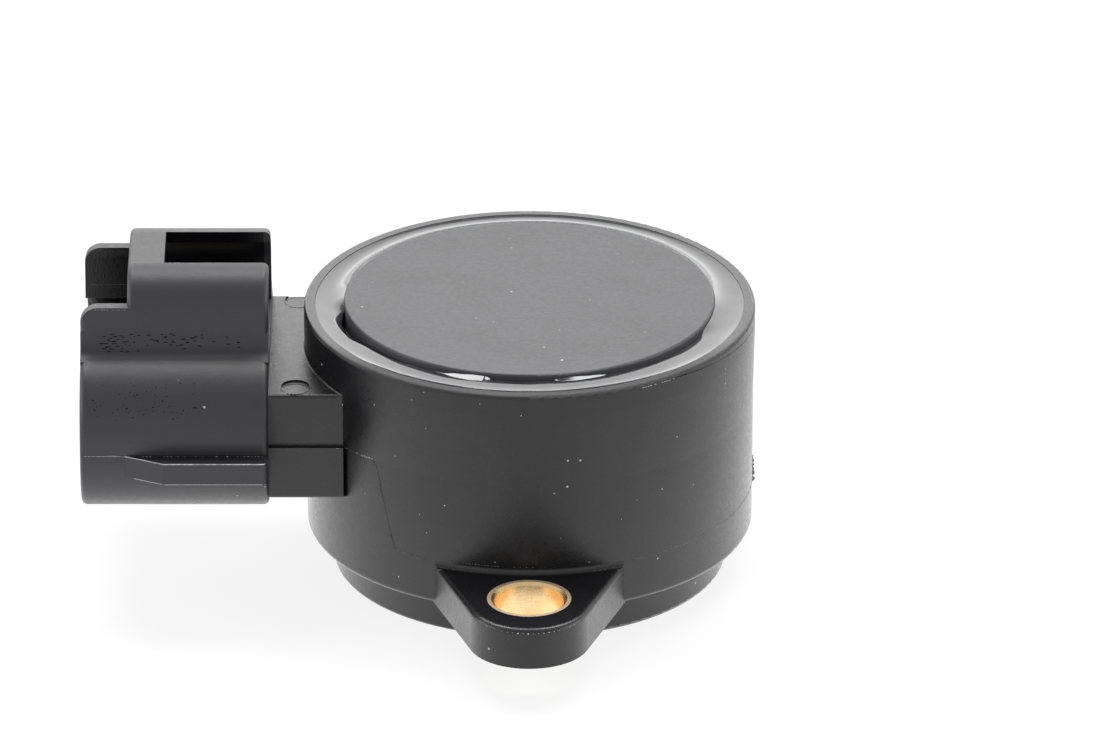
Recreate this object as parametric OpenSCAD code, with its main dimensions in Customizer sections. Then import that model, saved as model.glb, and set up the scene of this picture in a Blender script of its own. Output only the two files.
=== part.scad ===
// Throttle position sensor: a round potentiometer housing with two bolt ears,
// a locating spigot and a side connector with a latch tunnel.
// Z = 0 is the mounting plane on the axis, +Z points to the lid, the connector faces -X.

/* [Body] */
// Outside diameter of the cup at its rim
body_d = 39; // [36:0.5:44]
// Height of the rim above the mounting plane
body_h = 20.45; // [20:0.05:24]
// How much the radius shrinks from the rim down to the mounting plane
body_draft = 0.15; // [0.05:0.05:0.3]
// Wall of the cup below the lid seat
cup_wall = 2.3; // [1.8:0.1:2.6]
// Wall left round the lid and its potting at the rim
rim_wall = 0.95; // [0.7:0.05:1.3]
// Depth of the lid seat below the rim
seat_depth = 2.6; // [2.2:0.1:3]
// Thickness of the cup floor
floor_t = 2.4; // [2:0.1:3]
// Height of the mould parting step above the mounting plane
parting_z = 4.05; // [3.95:0.05:5.5]

/* [Locating spigot] */
// Outside diameter of the ring that centres the sensor
spigot_d = 34; // [30:0.5:35]
// How far the ring stands below the mounting plane
spigot_h = 3.55; // [3:0.05:5]
// Wall of the ring
spigot_wall = 2.2; // [1.6:0.1:3]
// Number of ribs between the bearing boss and the ring
rib_count = 6; // [3:1:10]
// Thickness of each rib
rib_t = 1.2; // [0.8:0.1:2]

/* [Mounting ears] */
// Distance between the two bolt holes
bolt_spacing = 48; // [46:0.5:54]
// Thickness of an ear
ear_t = 3.65; // [3:0.05:4]
// Radius of the rounded ear tip
ear_tip_r = 5.2; // [4.6:0.1:6]
// Distance of the tip's centre beyond the bolt hole
ear_tip_out = 1.05; // [0.4:0.05:1.6]
// Width of an ear where it joins the cup
ear_root_w = 17; // [15:0.2:20]
// Distance of that root from the axis
ear_root_y = 16.4; // [16:0.1:17.5]
// Bolt hole in the bush
bush_id = 6; // [5:0.1:6.4]
// Wall of the bush
bush_wall = 0.6; // [0.4:0.05:0.8]

/* [Neck and connector] */
// Sideways offset of the connector's middle from the axis
conn_y = -0.6; // [-2:0.1:2]
// Depth of the connector's parting plane and blades below the rim
conn_drop = 8.6; // [8.4:0.05:8.8]
// Width of the neck
neck_w = 20.8; // [19:0.2:22]
// Underside of the neck below the parting plane
neck_low = 4.8; // [4:0.05:5.2]
// Top of the neck above the parting plane
neck_high = 4.8; // [4:0.05:5.2]
// How far the lower mould half stands proud on the neck
neck_step = 0.36; // [0.1:0.02:0.5]
// Distance of the connector's rear face from the axis
conn_rear_x = 22.4; // [22:0.2:26]
// Length of the connector shroud
conn_len = 16.15; // [15:0.05:20]
// Width of the shroud
conn_w = 24.9; // [23:0.1:26]
// Underside of the shroud below the parting plane
conn_low = 6.75; // [6.4:0.05:7.4]
// Top of the shroud above the parting plane, beside the latch tunnel
conn_high = 7.45; // [7:0.05:8.4]
// Wall of the shroud
conn_wall = 0.95; // [0.8:0.05:1.2]
// Corner radius of the lower half
conn_low_r = 6; // [5:0.1:7]
// Corner radius of the upper half
conn_top_r = 6.3; // [5:0.1:7]
// Thickness of the shroud's rear wall
conn_back_wall = 1.5; // [1.2:0.1:2]

/* [Latch tunnel] */
// Width of the raised tunnel
tunnel_w = 13.9; // [12:0.1:15]
// Top of the tunnel above the parting plane
tunnel_high = 14.05; // [13.4:0.05:14.6]
// Corner radius of the tunnel's top
tunnel_r = 3.65; // [2.5:0.05:4]
// Length cut away from the tunnel at the mouth
notch_len = 4.05; // [3:0.05:5]
// Height of the cut-away edge above the parting plane
notch_high = 11.4; // [11:0.05:11.8]
// Length of the bridge that the latch hooks behind
bridge_len = 3.1; // [2.5:0.1:4]
// Width of the window behind the bridge
window_w = 6.45; // [5.5:0.05:8]
// Fillet in the valley beside the tunnel
valley_r = 1.5; // [0.6:0.1:2]

/* [Guide rails] */
// How far a side rail stands out of the shroud
rail_out = 1.6; // [1:0.05:2]
// Height of a side rail
rail_h = 1.95; // [1.2:0.05:2.4]
// Distance from the mouth to the start of the rail's ramp
rail_start = 3.9; // [3:0.1:6]
// Length of the ramp
rail_ramp = 3.3; // [2:0.1:4]

/* [Terminals] */
// Distance between neighbouring blades
pin_pitch = 3.8; // [3.6:0.1:4]
// Width of a blade
blade_w = 2.2; // [1.5:0.1:2.4]
// Thickness of a blade
blade_t = 0.64; // [0.5:0.02:0.8]
// How far a blade stops inside the mouth
blade_recess = 4.4; // [3:0.2:6]
// Distance of the upright solder legs from the axis
leg_x = 14; // [13.9:0.1:14.4]
// Width of a solder leg
leg_w = 0.9; // [0.7:0.05:1]

/* [Track board] */
// Room between the board's track side and the lid's seat
board_room = 4.65; // [4.4:0.05:4.8]
// Thickness of the board
board_t = 1.2; // [1:0.1:1.6]
// Gap between the board's edge and the cup
board_gap = 0.5; // [0.3:0.1:0.7]
// Thickness of the printed tracks
film_t = 0.12; // [0.1:0.01:0.15]
// Distance of the outer track's middle from the disc's edge
track_edge = 1.4; // [1.2:0.1:1.6]
// Distance between the two tracks' middles
track_step = 2.9; // [2.7:0.1:3.2]
// Width of a track
track_w = 1.6; // [1.2:0.1:1.8]

/* [Rotor] */
// Bore of the bearing boss
bearing_d = 12; // [11.8:0.1:12.4]
// Radial clearance of the rotor in its bearing
bearing_clear = 0.04; // [0.02:0.01:0.08]
// Wall of the bearing boss
boss_wall = 2.2; // [1.8:0.1:2.6]
// Room between the bearing and the board for washer, disc and wipers
wiper_room = 5.2; // [5.1:0.05:5.4]
// Clearance between the rotor disc and the posts
disc_clear = 1.1; // [1:0.1:1.4]
// Thickness of the rotor disc
disc_t = 2.2; // [1.8:0.1:2.3]
// Length of the slot for the throttle shaft
drive_l = 8.8; // [8:0.2:9.4]
// Width of that slot
drive_w = 5; // [4.4:0.1:5.6]
// Depth of that slot
drive_depth = 9; // [7:0.5:10]
// Height of the rotor's lower end above the spigot's rim
rotor_lift = 1; // [0.5:0.1:1.5]
// Free travel of the rotor between its stops, in degrees
rotor_travel = 100; // [80:1:100]

/* [Spring, seal and washers] */
// Wire of the return spring
wire_d = 0.9; // [0.7:0.05:1]
// Mean radius of the spring coil
coil_r = 10.3; // [10.2:0.1:10.8]
// Gap between neighbouring turns of the spring
coil_gap = 0.28; // [0.2:0.02:0.34]
// Outside diameter of the shaft seal
seal_d = 16; // [15:0.5:16.5]
// Height of the shaft seal
seal_h = 3.2; // [2.6:0.1:3.4]
// Thickness of the thrust washer
washer_t = 0.5; // [0.4:0.05:0.6]

/* [Lid] */
// Diameter of the lid's disc
lid_d = 32; // [30:0.5:32.5]
// How far the lid stands above the rim
lid_proud = 0.45; // [0.2:0.05:0.6]
// Thickness of the lid
lid_t = 1.6; // [1.4:0.1:2]
// Thickness of the lid's flange under the potting
flange_t = 1.1; // [0.9:0.1:1.3]
// Depth of the potting's surface below the rim
potting_low = 0.45; // [0.3:0.05:0.6]

/* [Hidden] */
terminal_count = 4;
big_fn = 120;
mid_fn = 64;
small_fn = 32;
eps = 0.5; // how far a cutting tool runs past the face it opens

body_r = body_d / 2;
body_foot_r = body_r - body_draft;
rim_round = 0.3;
foot_round = 0.6;
parting_step = 0.04;
flare_z = 12;
flare_drop = 2;
cup_r = body_foot_r - cup_wall;
seat_r = body_r - rim_wall;
seat_z = body_h - seat_depth;
spigot_r = spigot_d / 2;
spigot_round = 0.4;
bush_y = bolt_spacing / 2;
bush_r = bush_id / 2 + bush_wall;
bush_chamfer = 0.25;
ear_round = 0.5;
ear_blend = 0.5;
ear_half = ear_root_w / 2;
// tangent from the ear's root corner to the round of its tip
tip_y = bush_y + ear_tip_out;
ear_reach = [ear_half, tip_y - ear_root_y];
ear_lean = atan2(ear_reach[0], ear_reach[1]) - asin(ear_tip_r / norm(ear_reach));
ear_touch = [ear_tip_r * cos(ear_lean), tip_y + ear_tip_r * sin(ear_lean)];

plastic = [0.27, 0.27, 0.29];

// Connector outline
conn_half = conn_w / 2;
conn_parting_z = body_h - conn_drop;
neck_z0 = conn_parting_z - neck_low;
neck_z1 = conn_parting_z + neck_high;
conn_z0 = conn_parting_z - conn_low;
conn_z1 = conn_parting_z + conn_high;
tunnel_z1 = conn_parting_z + tunnel_high;
notch_z = conn_parting_z + notch_high;
mouth_x = -(conn_rear_x + conn_len);
cavity_back_x = -(conn_rear_x + conn_back_wall);
tunnel_half = tunnel_w / 2;
bridge_x0 = mouth_x + notch_len;
bridge_x1 = bridge_x0 + bridge_len;
shroud_round = 0.5;
valley_run_out = 4; // where the rounded edge ends before the valley, in degrees
notch_round = 1.5;
neck_round = 0.3;
neck_blend_r = 0.3;
neck_in = 16; // where the neck ends inside the cup wall
ejector_r = 1.2;
ejector_depth = 0.15;
ejector_x = 20.1;
ejector_y = [-8.97, 8.97];
// centre and tangent points of the valley fillet, seen along the mating direction
arc_y = conn_half - conn_top_r;
arc_z = conn_z1 - conn_top_r;
valley_y = tunnel_half + valley_r;
valley_z = arc_z + sqrt(pow(conn_top_r + valley_r, 2) - pow(valley_y - arc_y, 2));
valley_k = conn_top_r / (conn_top_r + valley_r);
valley_touch = [arc_y + (valley_y - arc_y) * valley_k, arc_z + (valley_z - arc_z) * valley_k];

// Parts inside the cup
boss_r = bearing_d / 2 + boss_wall;
seal_boss_r = seal_d / 2 + 1.8;
seal_z0 = -seal_h / 2;
rib_drop = 1.6;
board_r = cup_r - board_gap;
board_z = seat_z - board_room;
board_top = board_z + board_t;
bearing_z1 = board_z - wiper_room;
pivot_r = 3;
pivot_clear = 0.05;
post_depth = 2.55;
post_r0 = cup_r - post_depth;
post_w = 3;
post_angles = [0, 120, 240];
stake_r = 0.6;
stake_at = (post_r0 + board_r) / 2;
disc_r = post_r0 - disc_clear;
outer_track_r = disc_r - track_edge;
inner_track_r = outer_track_r - track_step;
leg_hole_r = 0.75;
leg_top = board_top + 1;
pad_r = 1.05;
rotor_z0 = -spigot_h + rotor_lift;
disc_z0 = bearing_z1 + washer_t + 0.1;
disc_z1 = disc_z0 + disc_t;
hub_r = 5;
hub_z1 = board_z - 0.75;
lug_half = 4; // half the stop lug's width, in degrees
lug_r = post_r0 + 0.9;
stop_gap = 0.5; // play between lug and stop, in degrees
post_half = asin(post_w / 2 / lug_r);
lug_rest = post_angles[2] + post_half + lug_half + stop_gap;
lug_spread = 360 - post_angles[2] - 2 * (post_half + lug_half + stop_gap);
wiper_rest = -rotor_travel / 2;
idle_rest = wiper_rest + 180;
wiper_t = 0.25;
finger_w = 0.42;
finger_gap = 0.6;
finger_len = 4.2;
plate_w = 2.2; // width of the plate that joins the fingers
tip_r = 0.25;
contact_gap = 0.05;
track_end = rotor_travel / 2 + 12;
idle_pad = 12; // half the idle pad's width, in degrees
lead_w = 0.7;
lead_gap = 1.05;
outer_lead_r = outer_track_r + track_w / 2 + lead_gap;
inner_lead_r = inner_track_r - track_w / 2 - 2 * lead_gap;
idle_lead_r = inner_track_r - 0.1;
end_pad = 1.2; // width of the bar that closes a track's end
wire_r = wire_d / 2;
coil_z0 = floor_t + wire_r + 0.05;
coil_z1 = disc_z0 - wire_r - 0.25;
coil_start = 150;
coil_turns = floor((coil_z1 - coil_z0) / (wire_d + coil_gap)) + 0.25;
anchor_leg = 4.5;
hook_up = 1.1;
hook_clear = 0.15;
flange_r = seat_r - 0.15;
lid_r = lid_d / 2;
lid_z1 = body_h + lid_proud;

// Extrudes an outline drawn in (Y, Z) along X
module along_x(x0, x1) {
    translate([x0, 0, 0]) rotate([90, 0, 90]) linear_extrude(x1 - x0) children();
}

// Extrudes an outline drawn in (X, Z) along Y
module along_y(y0, y1) {
    translate([0, y1, 0]) rotate([90, 0, 0]) linear_extrude(y1 - y0) children();
}

// What is left of a square corner outside a round of radius r; sx and sy point to the corner
module corner_waste(x, y, r, sx, sy) {
    translate([x, y]) difference() {
        translate([sx > 0 ? -r : -eps, sy > 0 ? -r : -eps]) square([r + eps, r + eps]);
        translate([-sx * r, -sy * r]) circle(r, $fn = mid_fn);
    }
}

// Rectangle with its own radius on the lower and on the upper pair of corners
module soft_rect(x0, x1, y0, y1, r_low, r_top) {
    difference() {
        translate([x0, y0]) square([x1 - x0, y1 - y0]);
        for (side = [[x0, -1], [x1, 1]]) {
            if (r_low > 0) corner_waste(side[0], y0, r_low, side[1], -1);
            if (r_top > 0) corner_waste(side[0], y1, r_top, side[1], 1);
        }
    }
}

// Flat ring sector, angles in degrees
module sector(r0, r1, a0, a1) {
    reach = r1 * 3;
    steps = ceil((a1 - a0) / 60);
    intersection() {
        difference() {
            circle(r1, $fn = big_fn);
            circle(r0, $fn = big_fn);
        }
        polygon(concat([[0, 0]], [
            for (i = [0:steps]) let (a = a0 + (a1 - a0) * i / steps) reach * [cos(a), sin(a)]
        ]));
    }
}

// Side outline of the cup, turned round the axis; the top flares a little
module cup_profile() {
    difference() {
        polygon([
            [0, 0], [body_foot_r - parting_step, 0], [body_foot_r - parting_step, parting_z],
            [body_foot_r, parting_z], [body_foot_r, flare_z], [body_r, body_h - flare_drop],
            [body_r, body_h], [0, body_h]
        ]);
        corner_waste(body_r, body_h, rim_round, 1, 1);
        corner_waste(body_foot_r - parting_step, 0, foot_round, 1, -1);
    }
}

module cup_space() {
    translate([0, 0, floor_t]) cylinder(h = body_h, r = cup_r, $fn = big_fn);
    translate([0, 0, seat_z]) cylinder(h = body_h, r = seat_r, $fn = big_fn);
}

module spigot_ring() {
    rotate_extrude($fn = big_fn) difference() {
        translate([spigot_r - spigot_wall, -spigot_h]) square([spigot_wall, spigot_h]);
        corner_waste(spigot_r, -spigot_h, spigot_round, 1, -1);
    }
}

// Straight sides run from the root to the tangent points on the tip's round
module ear_outline() {
    polygon([
        [-ear_half, cup_r - 3], [ear_half, cup_r - 3], [ear_half, ear_root_y], ear_touch,
        [0, tip_y], [-ear_touch[0], ear_touch[1]], [-ear_half, ear_root_y]
    ]);
    translate([0, tip_y]) circle(ear_tip_r, $fn = big_fn);
}

// What the rounded upper edge takes off: a ring sector at the tip and a strip on each side
module ear_edge_waste() {
    side_len = norm(ear_touch - [ear_half, ear_root_y]);
    reach = ear_tip_r + 2;
    translate([0, tip_y, 0]) {
        difference() {
            rotate_extrude($fn = big_fn) corner_waste(ear_tip_r, ear_t, ear_round, 1, 1);
            for (side = [-1, 1]) scale([side, 1, 1]) rotate(ear_lean)
                translate([-reach, -reach, 0]) cube([2 * reach, reach, ear_t + 1]);
        }
        for (side = [-1, 1]) scale([side, 1, 1]) rotate(ear_lean)
            translate([ear_tip_r, 0, 0]) rotate([90, 0, 0])
                linear_extrude(side_len + 1) corner_waste(0, ear_t, ear_round, 1, 1);
    }
}

// Concave blend between a flat top and the cup's wall, turned round the axis
module wall_blend(z, r) {
    rotate_extrude($fn = big_fn) difference() {
        translate([body_foot_r - 0.5, z - 0.5]) square([r + 0.5, r + 0.5]);
        translate([body_foot_r + r, z + r]) circle(r, $fn = mid_fn);
    }
}

module ear() {
    difference() {
        linear_extrude(ear_t) ear_outline();
        ear_edge_waste();
    }
    intersection() {
        wall_blend(ear_t, ear_blend);
        translate([0, 0, ear_t - 1]) linear_extrude(ear_blend + 2) ear_outline();
    }
}

// Shroud section in (Y, Z), shrunk all round by inset
module shroud_outline(inset) {
    translate([conn_y, 0]) {
        soft_rect(inset - conn_half, conn_half - inset, conn_z0 + inset, conn_z1 - inset,
            conn_low_r - inset, conn_top_r - inset);
        tunnel_outline(inset, arc_z);
        if (inset == 0) for (side = [-1, 1]) scale([side, 1]) valley_fillet();
    }
}

module tunnel_outline(inset, z0) {
    soft_rect(inset - tunnel_half, tunnel_half - inset, z0, tunnel_z1 - inset, 0, tunnel_r - inset);
}

module valley_fillet() {
    difference() {
        polygon([
            [tunnel_half - 1, valley_z], [valley_y, valley_z], valley_touch,
            [tunnel_half - 1, valley_touch[1] - 1]
        ]);
        translate([valley_y, valley_z]) circle(valley_r, $fn = mid_fn);
    }
}

// Silhouette of the shroud in (X, Z), with the notch at the mouth
module shroud_side() {
    difference() {
        translate([mouth_x, conn_z0 - 1]) square([conn_len, tunnel_z1 - conn_z0 + 2]);
        translate([mouth_x - 1, notch_z]) square([notch_len + 1, tunnel_z1]);
        corner_waste(mouth_x, notch_z, notch_round, -1, 1);
    }
}

// What the rounded edge takes off along an arc of the shroud's outline, on the end face at x;
// end is the direction in which that face looks
module arc_edge_waste(x, y, z, r, end, a0, a1) {
    for (side = [-1, 1]) translate([x, conn_y, 0]) scale([1, side, 1]) translate([0, y, z])
        rotate([90, 0, 90]) intersection() {
            rotate_extrude($fn = big_fn) corner_waste(r, 0, shroud_round, 1, end);
            translate([0, 0, -1]) linear_extrude(2) sector(r / 4, r + 2, a0, a1);
        }
}

module upright_edge_waste(x, y, end, z0, z1) {
    for (side = [-1, 1]) translate([0, 0, z0]) linear_extrude(z1 - z0)
        corner_waste(x, conn_y + side * y, shroud_round, end, side);
}

module level_edge_waste(x, z, end, up, half) {
    along_y(conn_y - half, conn_y + half) corner_waste(x, z, shroud_round, end, up);
}

// The rounded edge of the oval part and the tunnel's walls, at the mouth or at the rear;
// it runs out at both sides of the valley
module oval_edge_waste(x, end) {
    touch = atan2(valley_z - arc_z, valley_y - arc_y);
    level_edge_waste(x, conn_z0, end, -1, conn_half - conn_low_r);
    arc_edge_waste(x, conn_half - conn_low_r, conn_z0 + conn_low_r, conn_low_r, end, 270, 360);
    upright_edge_waste(x, conn_half, end, conn_z0 + conn_low_r, arc_z);
    arc_edge_waste(x, arc_y, arc_z, conn_top_r, end, 0, touch - valley_run_out);
    upright_edge_waste(x, tunnel_half, end, valley_z + shroud_round, tunnel_z1 - tunnel_r);
}

// The rounded edge over the tunnel, down to z
module tunnel_edge_waste(x, end, z) {
    level_edge_waste(x, tunnel_z1, end, 1, tunnel_half - tunnel_r);
    intersection() {
        arc_edge_waste(x, tunnel_half - tunnel_r, tunnel_z1 - tunnel_r, tunnel_r, end, 0, 90);
        translate([x - 2, conn_y - tunnel_w, z]) cube([4, 2 * tunnel_w, tunnel_z1]);
    }
}

module guide_rails() {
    x0 = mouth_x + rail_start;
    y0 = conn_half - 2 * conn_wall / 3;
    y1 = conn_half + rail_out;
    translate([0, conn_y, conn_parting_z - rail_h]) for (side = [-1, 1]) scale([1, side, 1])
        linear_extrude(rail_h) difference() {
            polygon([
                [x0, y0], [x0, conn_half], [x0 + rail_ramp, y1], [-conn_rear_x, y1], [-conn_rear_x, y0]
            ]);
            corner_waste(-conn_rear_x, y1, shroud_round, 1, 1);
        }
}

module shroud() {
    difference() {
        intersection() {
            along_x(mouth_x, -conn_rear_x) shroud_outline(0);
            along_y(conn_y - conn_w, conn_y + conn_w) shroud_side();
        }
        oval_edge_waste(mouth_x, -1);
        oval_edge_waste(-conn_rear_x, 1);
        tunnel_edge_waste(bridge_x0, -1, notch_z);
        tunnel_edge_waste(-conn_rear_x, 1, tunnel_z1 - tunnel_r);
        along_x(mouth_x - eps, cavity_back_x) shroud_outline(conn_wall);
        along_x(cavity_back_x - eps, eps - conn_rear_x) translate([conn_y, 0])
            tunnel_outline(conn_wall, conn_z1 - conn_wall);
        translate([bridge_x1, conn_y - window_w / 2, tunnel_z1 - 2 * conn_wall])
            cube([conn_len, window_w, 3 * conn_wall]);
    }
    guide_rails();
}

module neck() {
    half = neck_w / 2;
    along_x(-conn_rear_x - conn_back_wall / 2, -neck_in) translate([conn_y, 0]) {
        soft_rect(-half, half, neck_z0, neck_z1, 0, neck_round);
        soft_rect(-half - neck_step, half + neck_step, neck_z0, conn_parting_z, neck_round, 0);
    }
}

module neck_blend() {
    intersection() {
        wall_blend(neck_z1, neck_blend_r);
        translate([-conn_rear_x, conn_y - neck_w / 2, neck_z1 - 1])
            cube([conn_rear_x - neck_in + 6, neck_w, neck_blend_r + 2]);
    }
}

module ejector_marks() {
    for (y = ejector_y) translate([-ejector_x, y, neck_z1 - ejector_depth])
        cylinder(h = 1, r = ejector_r, $fn = small_fn);
}

// Bearing tube through the floor, wider below for the shaft seal
module bearing_boss() {
    cylinder(h = bearing_z1, r = boss_r, $fn = big_fn);
    translate([0, 0, seal_z0 - 0.3]) cylinder(h = floor_t + 0.3 - seal_z0, r = seal_boss_r, $fn = big_fn);
    for (i = [0:rib_count - 1]) rotate(i * 360 / rib_count + 30)
        translate([boss_r, -rib_t / 2, -rib_drop])
            cube([spigot_r - spigot_wall - boss_r + 0.5, rib_t, rib_drop + 1]);
}

module bearing_bores() {
    translate([0, 0, -spigot_h]) cylinder(h = bearing_z1 + spigot_h + 1, r = bearing_d / 2, $fn = big_fn);
    translate([0, 0, seal_z0 - 1]) cylinder(h = seal_h + 1, r = seal_d / 2, $fn = big_fn);
}

// Posts that carry the board; two of them also stop the rotor's lug
module board_posts() {
    for (a = post_angles) rotate(a) {
        translate([post_r0, -post_w / 2, floor_t - 0.5]) cube([cup_r - post_r0 + 0.3, post_w, board_z - floor_t + 0.5]);
        translate([stake_at, 0, board_z - 1]) cylinder(h = board_t + 1.5, r = stake_r, $fn = small_fn);
    }
}

// Peg on the floor that the spring's lower leg leans on
module spring_peg() {
    rotate(coil_start) translate([coil_r + wire_r + 1, -anchor_leg + 0.8, floor_t - 0.5])
        cylinder(h = 3, r = 0.9, $fn = small_fn);
}

module housing() {
    color(plastic) difference() {
        union() {
            difference() {
                union() {
                    rotate_extrude($fn = big_fn) cup_profile();
                    neck();
                    neck_blend();
                    for (side = [-1, 1]) scale([1, side, 1]) ear();
                }
                cup_space();
            }
            spigot_ring();
            shroud();
            bearing_boss();
            board_posts();
            spring_peg();
        }
        bearing_bores();
        ejector_marks();
        for (side = [-1, 1]) translate([0, side * bush_y, -1])
            cylinder(h = ear_t + 2, r = bush_r, $fn = mid_fn);
        for (i = [0:terminal_count - 1]) terminal_blank(i);
    }
}

// Lid, its disc flush in the groove of potting
module back_cover() {
    color([0.36, 0.36, 0.39]) rotate_extrude($fn = big_fn) difference() {
        polygon([
            [0, lid_z1], [lid_r, lid_z1], [lid_r, seat_z + flange_t], [flange_r, seat_z + flange_t],
            [flange_r, seat_z], [lid_r - lid_t, seat_z], [lid_r - lid_t, lid_z1 - lid_t], [0, lid_z1 - lid_t]
        ]);
        corner_waste(lid_r, lid_z1, 0.2, 1, 1);
    }
}

// Casting resin in the groove; its surface sags between the two walls
module potting_ring() {
    z_top = body_h - potting_low;
    groove = seat_r - lid_r;
    sag = 0.2;
    r_sag = (groove * groove / 4 + sag * sag) / (2 * sag);
    color([0.12, 0.12, 0.13]) rotate_extrude($fn = big_fn) difference() {
        polygon([
            [lid_r, seat_z + flange_t], [flange_r, seat_z + flange_t], [flange_r, seat_z],
            [seat_r, seat_z], [seat_r, z_top], [lid_r, z_top]
        ]);
        translate([lid_r + groove / 2, z_top - sag + r_sag]) circle(r_sag, $fn = big_fn);
    }
}

// Bushes pressed into the ears
module bolt_bush(side) {
    color([0.80, 0.66, 0.40]) translate([0, side * bush_y, 0]) rotate_extrude($fn = mid_fn) polygon([
        [bush_id / 2, bush_chamfer], [bush_id / 2 + bush_chamfer, 0], [bush_r, 0],
        [bush_r, ear_t], [bush_id / 2 + bush_chamfer, ear_t], [bush_id / 2, ear_t - bush_chamfer]
    ]);
}

module front_bush() { bolt_bush(-1); }
module rear_bush() { bolt_bush(1); }

function pin_y(i) = conn_y + (terminal_count - 1) / 2 * pin_pitch - i * pin_pitch;

// Blade, step-down and upright leg as one stamped strip
module terminal_blank(i) {
    z0 = conn_parting_z - blade_t / 2;
    leg_back = -leg_x - blade_t / 2;
    translate([0, pin_y(i), 0]) {
        difference() {
            translate([mouth_x + blade_recess, -blade_w / 2, z0])
                cube([conn_rear_x + conn_len - blade_recess - neck_in - 1, blade_w, blade_t]);
            // tapered tip
            for (side = [-1, 1]) translate([mouth_x + blade_recess, side * blade_w / 2, z0 - 1])
                rotate(45) cube([0.8, 0.8, blade_t + 3], center = true);
        }
        translate([-neck_in - 1, -leg_w / 2, z0]) cube([neck_in + 1 + leg_back + blade_t, leg_w, blade_t]);
        translate([leg_back, -leg_w / 2, z0]) cube([blade_t, leg_w, leg_top - z0]);
    }
}

module terminal(i) { color([0.72, 0.70, 0.62]) terminal_blank(i); }
module terminal_1() { terminal(0); }
module terminal_2() { terminal(1); }
module terminal_3() { terminal(2); }
module terminal_4() { terminal(3); }

// Solder cone on the board's upper side, round the leg
module solder_joint(i) {
    height = 0.8;
    color([0.75, 0.76, 0.78]) difference() {
        translate([-leg_x, pin_y(i), board_top]) rotate_extrude($fn = small_fn) difference() {
            square([pad_r, height]);
            translate([pad_r + 0.15, height + 0.1]) circle(height - 0.05, $fn = small_fn);
        }
        terminal_blank(i);
    }
}

module solder_joint_1() { solder_joint(0); }
module solder_joint_2() { solder_joint(1); }
module solder_joint_3() { solder_joint(2); }
module solder_joint_4() { solder_joint(3); }

module track_board() {
    color([0.85, 0.82, 0.74]) translate([0, 0, board_z]) linear_extrude(board_t) difference() {
        circle(board_r, $fn = big_fn);
        circle(pivot_r + pivot_clear, $fn = mid_fn);
        for (i = [0:terminal_count - 1]) translate([-leg_x, pin_y(i)]) circle(leg_hole_r, $fn = small_fn);
        for (a = post_angles) rotate(a) translate([stake_at, 0]) circle(stake_r + 0.05, $fn = small_fn);
    }
}

// Flat print of film_t under the board
module film() {
    translate([0, 0, board_z - film_t]) linear_extrude(film_t) children();
}

// Pad round a terminal's hole
module pad_area(i) {
    translate([-leg_x, pin_y(i)]) circle(pad_r, $fn = small_fn);
}

module pad_hole(i) {
    translate([-leg_x, pin_y(i)]) circle(leg_hole_r, $fn = small_fn);
}

module ring_lead(r, a0, a1) { sector(r - lead_w / 2, r + lead_w / 2, a0, a1); }

// Straight lead between two radii at an angle
module spoke_lead(r0, r1, a) {
    rotate(a) translate([r0, -lead_w / 2]) square([r1 - r0, lead_w]);
}

function pin_angle(i) = 180 - atan(pin_y(i) / leg_x);
function pin_radius(i) = norm([leg_x, pin_y(i)]);

module resistor_track() {
    color([0.13, 0.13, 0.14]) film()
        sector(outer_track_r - track_w / 2, outer_track_r + track_w / 2, -track_end, track_end);
}

module supply_track() {
    color([0.78, 0.78, 0.80]) film() difference() {
        union() {
            ring_lead(outer_lead_r, pin_angle(3), 360 - track_end);
            rotate(-track_end) translate([outer_track_r - track_w / 2, -end_pad])
                square([outer_lead_r - outer_track_r + track_w / 2, end_pad]);
            spoke_lead(outer_lead_r, pin_radius(3), pin_angle(3));
            pad_area(3);
        }
        pad_hole(3);
    }
}

module ground_track() {
    color([0.78, 0.78, 0.80]) film() difference() {
        union() {
            ring_lead(outer_lead_r, track_end, pin_angle(0));
            rotate(track_end) translate([outer_track_r - track_w / 2, 0])
                square([outer_lead_r - outer_track_r + track_w / 2, end_pad]);
            sector(outer_track_r - track_w / 2, outer_lead_r, idle_rest - idle_pad, idle_rest + idle_pad);
            pad_area(0);
        }
        pad_hole(0);
    }
}

module signal_track() {
    color([0.78, 0.78, 0.80]) film() difference() {
        union() {
            sector(inner_track_r - track_w / 2, inner_track_r + track_w / 2, -track_end, track_end);
            spoke_lead(inner_lead_r, inner_track_r, 4 - track_end);
            ring_lead(inner_lead_r, pin_angle(2), 364 - track_end);
            spoke_lead(inner_lead_r, pin_radius(2), pin_angle(2));
            pad_area(2);
        }
        pad_hole(2);
    }
}

module idle_track() {
    color([0.78, 0.78, 0.80]) film() difference() {
        union() {
            sector(inner_track_r - track_w / 2, inner_track_r + track_w / 2,
                idle_rest - idle_pad, idle_rest + idle_pad);
            ring_lead(idle_lead_r, idle_rest, pin_angle(1));
            spoke_lead(idle_lead_r, pin_radius(1), pin_angle(1));
            pad_area(1);
        }
        pad_hole(1);
    }
}

module drive_slot() {
    translate([0, 0, rotor_z0 - 1]) linear_extrude(drive_depth + 1) intersection() {
        circle(drive_l / 2, $fn = mid_fn);
        square([drive_w, drive_l + 2], center = true);
    }
}

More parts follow.
